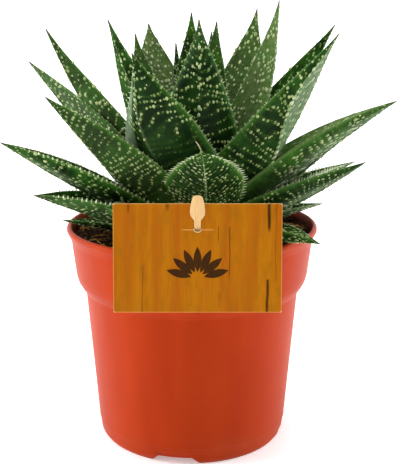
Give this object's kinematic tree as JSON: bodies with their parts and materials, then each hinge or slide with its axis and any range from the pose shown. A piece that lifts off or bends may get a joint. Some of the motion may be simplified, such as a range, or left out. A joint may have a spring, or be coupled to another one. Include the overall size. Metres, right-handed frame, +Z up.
{
  "type": "potted gasteria",
  "caption": "Rosette of thick, keeled, white-toothed succulent leaves in a round plastic nursery pot, with a blank card tag on a wooden stick at the rim.",
  "frame": {"origin": "middle of the whole plant's box, on the surface that the pot stands on", "axes": "+Z up along the pot's axis, -Y towards the side where the card tag hangs, +X to the right seen from there"},
  "size_m": [0.2106, 0.1662, 0.242],
  "materials": {
    "terracotta_plastic": "satin moulded plastic, terracotta orange",
    "potting_soil": "loose dark peat with fibres",
    "leaf_green": "dark green, satin, with pale raised spots in cross bands and white teeth",
    "young_leaf_green": "lighter green, satin, with pale raised spots and white teeth",
    "stem_green": "pale green, matt",
    "wood_print_card": "printed card with a plain wood grain, semi-matt",
    "pale_wood": "raw birch, smooth"
  },
  "bodies": {
    "root": {"pot": "terracotta_plastic", "soil": "potting_soil", "stem": "stem_green", "inner_leaf_1": "leaf_green", "inner_leaf_2": "leaf_green", "inner_leaf_3": "leaf_green", "inner_leaf_4": "leaf_green", "inner_leaf_5": "leaf_green", "inner_leaf_6": "young_leaf_green", "inner_leaf_7": "young_leaf_green", "inner_leaf_8": "young_leaf_green", "inner_leaf_9": "young_leaf_green", "middle_leaf_1": "leaf_green", "middle_leaf_2": "leaf_green", "middle_leaf_3": "leaf_green", "middle_leaf_4": "leaf_green", "middle_leaf_5": "leaf_green", "middle_leaf_6": "leaf_green", "middle_leaf_7": "leaf_green", "middle_leaf_8": "leaf_green", "middle_leaf_9": "leaf_green", "outer_leaf_1": "leaf_green", "outer_leaf_2": "leaf_green", "outer_leaf_3": "leaf_green", "outer_leaf_4": "leaf_green", "outer_leaf_5": "leaf_green", "outer_leaf_6": "leaf_green", "outer_leaf_7": "leaf_green", "outer_leaf_8": "leaf_green", "outer_leaf_9": "leaf_green", "outer_leaf_10": "leaf_green", "outer_leaf_11": "leaf_green", "outer_leaf_12": "leaf_green", "outer_leaf_13": "leaf_green", "outer_leaf_14": "leaf_green", "tag_card": "wood_print_card", "tag_stick": "pale_wood"}
  },
  "joints": []
}
